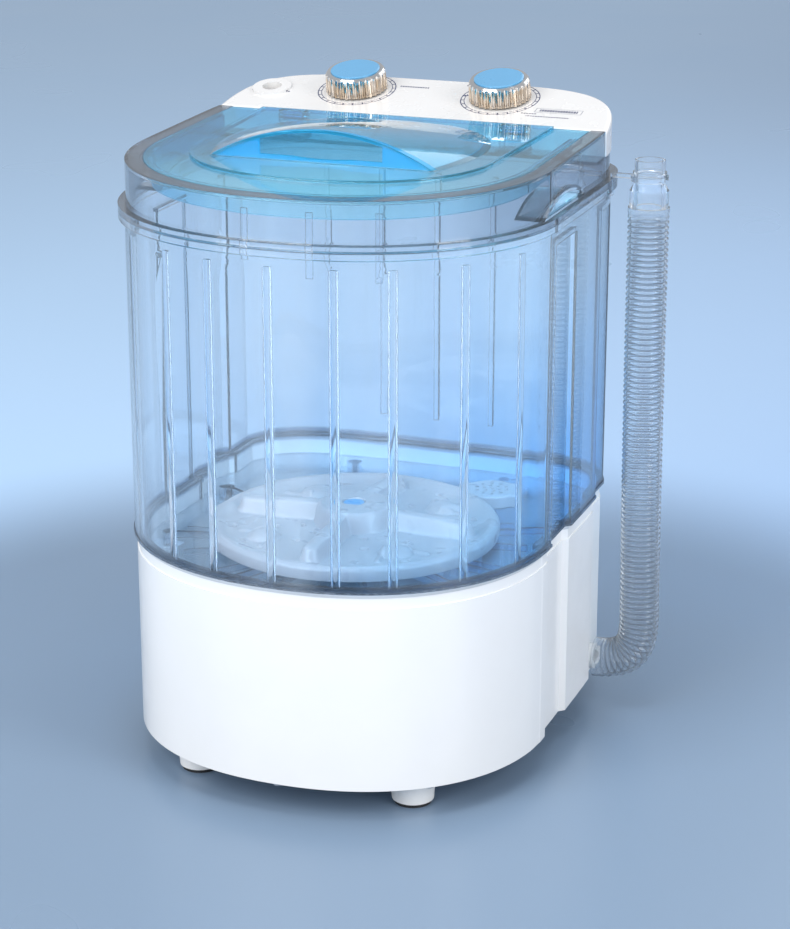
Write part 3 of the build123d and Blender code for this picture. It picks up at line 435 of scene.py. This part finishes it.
CLEAR_EDGE = (0.05, 0.08, 0.12)
FINISHES = {
    "base_white": lambda n: solid(n, (0.86, 0.86, 0.86), 0.22, 0.97, 1400, 0.015, coat=0.3),
    "console_white": lambda n: solid(n, (0.70, 0.69, 0.685), 0.25, 0.97, 1400, 0.015, coat=0.3,
                                   print_and_painted_reflection=console_marks),
    "feet_white": lambda n: solid(n, (0.92, 0.92, 0.91), 0.45, 0.93, 900, 0.04),
    "inner_plastic": lambda n: solid(n, (0.62, 0.64, 0.66), 0.4, 0.9, 700, 0.05),
    "clear_tub": lambda n: clear(n, (0.9, 0.95, 1.0), CLEAR_EDGE, (0.86, 0.92, 0.98), tint=tub_tint_and_painted_light,
                               haze=tub_streaks_and_painted_highlight),
    "clear_collar": lambda n: clear(n, (0.84, 0.87, 0.90), CLEAR_EDGE, (0.82, 0.87, 0.92), tint=collar_tint_and_painted_shade),
    "clear_grip": lambda n: clear(n, (0.93, 0.95, 0.98), CLEAR_EDGE, (0.86, 0.9, 0.94), edge_start=0.8,
                                crease=0),
    "lid_blue": lambda n: clear(n, (0.32, 0.80, 0.96), (0.0, 0.22, 0.38), (0.45, 0.80, 0.97), edge_start=0.6,
                              tint=lid_tint_and_painted_light, haze=lid_haze_and_painted_sheen, haze_colour=lid_haze_colour),
    "gasket_grey": lambda n: solid(n, (0.55, 0.57, 0.60), 0.5, 0.85, 600, 0.06),
    "rubber_black": lambda n: solid(n, (0.025, 0.025, 0.027), 0.6, 0.7, 500, 0.08),
    "pulsator_white": lambda n: solid(n, (0.43, 0.39, 0.40), 0.3, 0.96, 1000, 0.02, coat=0.2),
    "strainer_white": lambda n: solid(n, (0.46, 0.46, 0.50), 0.3, 0.96, 1000, 0.02),
    "hose_clear": lambda n: clear(n, (0.92, 0.94, 0.96), (0.16, 0.19, 0.22), (0.85, 0.88, 0.9), 0.05, 1.33,
                                crease=0, haze=0.05, tint=hose_painted_groove_shade),
    "knob_chrome": lambda n: solid(n, (0.86, 0.84, 0.82), 0.12, 0.85, 1200, 0.01, metal=1.0, print_and_painted_reflection=knob_painted_reflection),
    "knob_blue": lambda n: solid(n, (0.11, 0.34, 0.58), 0.3, 0.92, 1200, 0.02, coat=0.3),
    "screw_steel": lambda n: solid(n, (0.55, 0.55, 0.56), 0.32, 0.8, 1500, 0.02, metal=1.0),
    "shaft_steel": lambda n: solid(n, (0.60, 0.60, 0.62), 0.25, 0.85, 900, 0.02, metal=1.0,
                                 stretch=(1, 1, 12)),
    "bearing_steel": lambda n: solid(n, (0.50, 0.50, 0.52), 0.22, 0.85, 900, 0.01, metal=1.0,
                                   stretch=(1, 1, 9)),
    "housing_alu": lambda n: solid(n, (0.60, 0.61, 0.62), 0.5, 0.85, 420, 0.12, metal=1.0),
    "pulley_nylon": lambda n: solid(n, (0.72, 0.70, 0.65), 0.45, 0.9, 500, 0.05),
    "motor_steel": lambda n: solid(n, (0.04, 0.04, 0.043), 0.35, 0.7, 450, 0.08, coat=0.3),
    "bracket_steel": lambda n: solid(n, (0.52, 0.53, 0.55), 0.38, 0.75, 300, 0.04, metal=1.0),
    "capacitor_grey": lambda n: solid(n, (0.32, 0.34, 0.35), 0.3, 0.88, 800, 0.03),
    "timer_grey": lambda n: solid(n, (0.10, 0.105, 0.11), 0.5, 0.85, 600, 0.06),
}
MATERIALS = {name: make(name) for name, make in FINISHES.items()}


def finish_cad_nodes():
    """Every CAD node takes the finish of its material slot."""
    slots = {part["node"]: part["material_slot"] for part in frame["record"]["subparts"]}
    for name, obj in NODES.items():
        obj.data.materials.clear()
        obj.data.materials.append(MATERIALS[slots[name]])


# ---- pieces -------------------------------------------------------------------------------------------
def piece(name, vertices, faces, body, slot, replaced, sharp):
    """A mesh that rides a body and takes the place of these CAD nodes; edges over sharp degrees stay crisp."""
    mesh = bpy.data.meshes.new(name)
    mesh.from_pydata(vertices, [], faces)
    mesh.update()
    mesh.shade_smooth()
    mesh.set_sharp_from_angle(angle=radians(sharp))
    mesh.materials.append(MATERIALS[slot])
    obj = link(bpy.data.objects.new(name, mesh))
    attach(obj, body)
    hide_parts(*replaced)
    return obj


def skin(loops):
    """Vertices and quads over a ring of loops with equal point counts; the last loop joins the first."""
    count = len(loops[0])
    vertices = [tuple(point) for loop in loops for point in loop]
    faces = []
    for i in range(len(loops)):
        j = (i + 1) % len(loops)
        for k in range(count):
            m = (k + 1) % count
            faces.append((i * count + k, i * count + m, j * count + m, j * count + k))
    return vertices, faces


# ---- drain hose ---------------------------------------------------------------------------------------
HOSE_Y = 0.10655
HOSE_ROUTE = [(0.1588, HOSE_Y, 0.038), (0.1778, HOSE_Y, 0.038), (0.1944, HOSE_Y, 0.054),
              (0.1936, HOSE_Y, 0.098), (0.1924, HOSE_Y, 0.182), (0.1916, HOSE_Y, 0.268),
              (0.1912, HOSE_Y, 0.340), (0.1912, HOSE_Y, 0.407)]
HOSE_R = 0.0158
RING_PITCH = 0.0043
RING_DEPTH = 0.0021
HOSE_WALL = 0.0009
RING_STEPS = 8
HOSE_SIDES = 44
HOSE_CUFF = 0.010
CUFF_PLAIN = 0.3                 # share of the cuff that has no rings at all


def smooth_line(points, name):
    """Points along the NURBS curve that has these control points."""
    curve = bpy.data.curves.new(name, "CURVE")
    curve.dimensions = "3D"
    spline = curve.splines.new("NURBS")
    spline.points.add(len(points) - 1)
    for control, point in zip(spline.points, points):
        control.co = (*point, 1.0)
    spline.order_u = 3
    spline.use_endpoint_u = True
    spline.resolution_u = 24
    holder = bpy.data.objects.new(name, curve)
    mesh = bpy.data.meshes.new_from_object(holder)
    line = np.array([v.co for v in mesh.vertices])
    bpy.data.meshes.remove(mesh)
    bpy.data.curves.remove(curve)
    return line


def evenly(line, step):
    """Points at an even step along a line, and how far along it each one lies."""
    along = np.concatenate([[0], np.cumsum(np.linalg.norm(np.diff(line, axis=0), axis=1))])
    at = np.linspace(0, along[-1], int(round(along[-1] / step)) + 1)
    return np.stack([np.interp(at, along, line[:, k]) for k in range(3)], axis=1), at


def make_hose():
    """Corrugated tube with an open bore; the rings fade out at its plain cuffs."""
    line = smooth_line(HOSE_ROUTE, "hose_line")
    points, along = evenly(line, RING_PITCH / RING_STEPS)
    ahead = np.gradient(points, axis=0)
    across = np.array((0.0, 1.0, 0.0))
    outer, inner, grooves = [], [], []
    for point, tangent, s in zip(points, ahead, along):
        tangent = tangent / np.linalg.norm(tangent)
        up = np.cross(tangent, across)
        from_end = min(s, along[-1] - s)
        fade = min(1.0, max(0.0, from_end / HOSE_CUFF - CUFF_PLAIN))
        wave = 0.5 - 0.5 * cos(2 * pi * s / RING_PITCH)
        depth = (1 - wave ** 0.45) * fade
        radius = HOSE_R - RING_DEPTH * depth
        grooves.append(depth)
        for rows, r in ((outer, radius), (inner, radius - HOSE_WALL)):
            turns = [2 * pi * k / HOSE_SIDES for k in range(HOSE_SIDES)]
            rows.append([point + r * (cos(a) * across + sin(a) * up) for a in turns])
    vertices, faces = skin(outer + inner[::-1])
    hose = piece("drain_hose_tube", vertices, faces, "machine", "hose_clear", ("drain_hose",), sharp=80)
    # Groove depth per point, read by the hose's painted groove shade.
    values = hose.data.attributes.new("groove", "FLOAT", "POINT")
    values.data.foreach_set("value", np.repeat(grooves + grooves[::-1], HOSE_SIDES))


# ---- pulsator -----------------------------------------------------------------------------------------
PULSATOR_R = 0.1106
DISH_Z = 0.1716
RIM_TOP_Z = 0.1762
HUB_TOP_Z = 0.1888
HUB_R = 0.0300
FIN_HALF = 0.0074
FIN_END = 0.0960
FIN_HEIGHTS = ((0.026, 0.1875), (0.060, 0.1858), (0.090, 0.1835))
DOME_AT, DOME_R, DOME_RISE = 0.0745, 0.0135, 0.0062
RIDGE_HALF, RIDGE_RISE = 0.0012, 0.0018
LIP_START, LIP_END = 0.1035, 0.1075          # radii between which the rim is level
RIDGE_START, RIDGE_LEAN = 0.058, 0.62
DISH_TURNS = 480
DISH_RINGS = 118
SLOTS = ((0.040, -14), (0.040, 14), (0.058, -17), (0.058, 17), (0.092, -20), (0.092, 20), (0.092, 0))


def soft_max(one, other, blend):
    """The larger of two heights, with a fillet of about this size where they meet."""
    gap = np.maximum(blend - np.abs(one - other), 0.0) / blend
    return np.maximum(one, other) + gap * gap * blend * 0.25


def rounded_step(distance, half, soft):
    """1 inside a half width, falling smoothly to 0 over the soft border outside it."""
    t = np.clip((half + soft - distance) / soft, 0.0, 1.0)
    return t * t * (3.0 - 2.0 * t)


def pulsator_height(x, y):
    """Top of the pulsator's dish at points round its own axis: rim, hub, four fins, domes, ridges, slots."""
    r = np.hypot(x, y)
    z = DISH_Z + 0.0030 * np.clip(1.0 - r / 0.06, 0.0, 1.0)
    lip = RIM_TOP_Z - 0.55 * np.maximum(0.0, LIP_START - r) - 0.9 * np.maximum(0.0, r - LIP_END)
    z = soft_max(z, lip, 0.0030)
    for turn in range(4):
        angle = turn * pi / 2
        along = x * cos(angle) + y * sin(angle)
        aside = np.abs(-x * sin(angle) + y * cos(angle))
        crest = np.interp(along, [p[0] for p in FIN_HEIGHTS], [p[1] for p in FIN_HEIGHTS])
        away = np.hypot(aside, np.maximum(0.0, along - (FIN_END - FIN_HALF)))
        crown = crest - 0.0030 * (away / FIN_HALF) ** 2 - 2.6 * np.maximum(0.0, away - FIN_HALF * 0.72)
        z = np.where(along > 0.0, soft_max(z, crown, 0.0038), z)
        angle += pi / 4
        along = x * cos(angle) + y * sin(angle)
        aside = -x * sin(angle) + y * cos(angle)
        ball = 1.0 - ((along - DOME_AT) / DOME_R) ** 2 - (aside / DOME_R) ** 2
        dome = DISH_Z - 0.002 + (DOME_RISE + 0.002) * np.sqrt(np.maximum(ball, 0.0))
        z = np.where(ball > 0.0, soft_max(z, dome, 0.0012), z)
        for lean in (-RIDGE_LEAN, RIDGE_LEAN):
            start = along - RIDGE_START
            run = start * cos(lean) + aside * sin(lean)
            off = np.abs(-start * sin(lean) + aside * cos(lean))
            ridge = rounded_step(off, RIDGE_HALF, 0.0010) * rounded_step(np.abs(run - 0.024), 0.011, 0.0015)
            z = z + RIDGE_RISE * ridge
        for radius, degrees in SLOTS:
            lean = radians(degrees)
            run = along * cos(lean) + aside * sin(lean) - radius
            off = -along * sin(lean) + aside * cos(lean)
            slot = rounded_step(np.abs(run), 0.0009, 0.0008) * rounded_step(np.abs(off), 0.0024, 0.0008)
            z = z - 0.0030 * slot
    hub = HUB_TOP_Z - 6.0 * np.maximum(0.0, r - HUB_R) - 9.0 * np.maximum(0.0, r - HUB_R + 0.004) ** 2 / 0.02
    z = soft_max(z, hub, 0.0045)
    well = rounded_step(r, 0.0072, 0.0012)
    return z - 0.0026 * well


def make_pulsator():
    """Dish with its rim, as one closed skin round the shaft, turning with the pulsator body."""
    centre = Vector(JOINTS["pulsator_spin"]["pos_m"])
    radii = np.linspace(0.0010, PULSATOR_R - 0.0012, DISH_RINGS)
    turns = np.linspace(0.0, 2 * pi, DISH_TURNS, endpoint=False)
    rings = []
    for radius in radii:
        x, y = radius * np.cos(turns), radius * np.sin(turns)
        rings.append(np.stack([x, y, pulsator_height(x, y)], axis=1))
    edge = pulsator_height(np.array([radii[-1]]), np.array([0.0]))[0]
    skirt = ((PULSATOR_R - 0.0003, edge - 0.0010), (PULSATOR_R, edge - 0.0022), (PULSATOR_R, 0.1672),
             (PULSATOR_R - 0.0006, 0.1650), (PULSATOR_R - 0.0024, 0.1645), (0.1045, 0.1645), (0.1025, 0.1684),
             (0.0230, 0.1684), (0.0220, 0.1652), (0.0052, 0.1652), (0.0052, 0.1780), (0.0010, 0.1780))
    for radius, z in skirt:
        level = np.full(DISH_TURNS, z)
        rings.append(np.stack([radius * np.cos(turns), radius * np.sin(turns), level], axis=1))
    moved = [ring + np.array((centre.x, centre.y, 0.0)) for ring in rings]
    vertices, faces = skin(moved[::-1])
    piece("pulsator_dish", vertices, faces, "pulsator", "pulsator_white", ("pulsator",), sharp=50)


make_camera()
make_lights()
make_floor()
finish_cad_nodes()
make_hose()
make_pulsator()
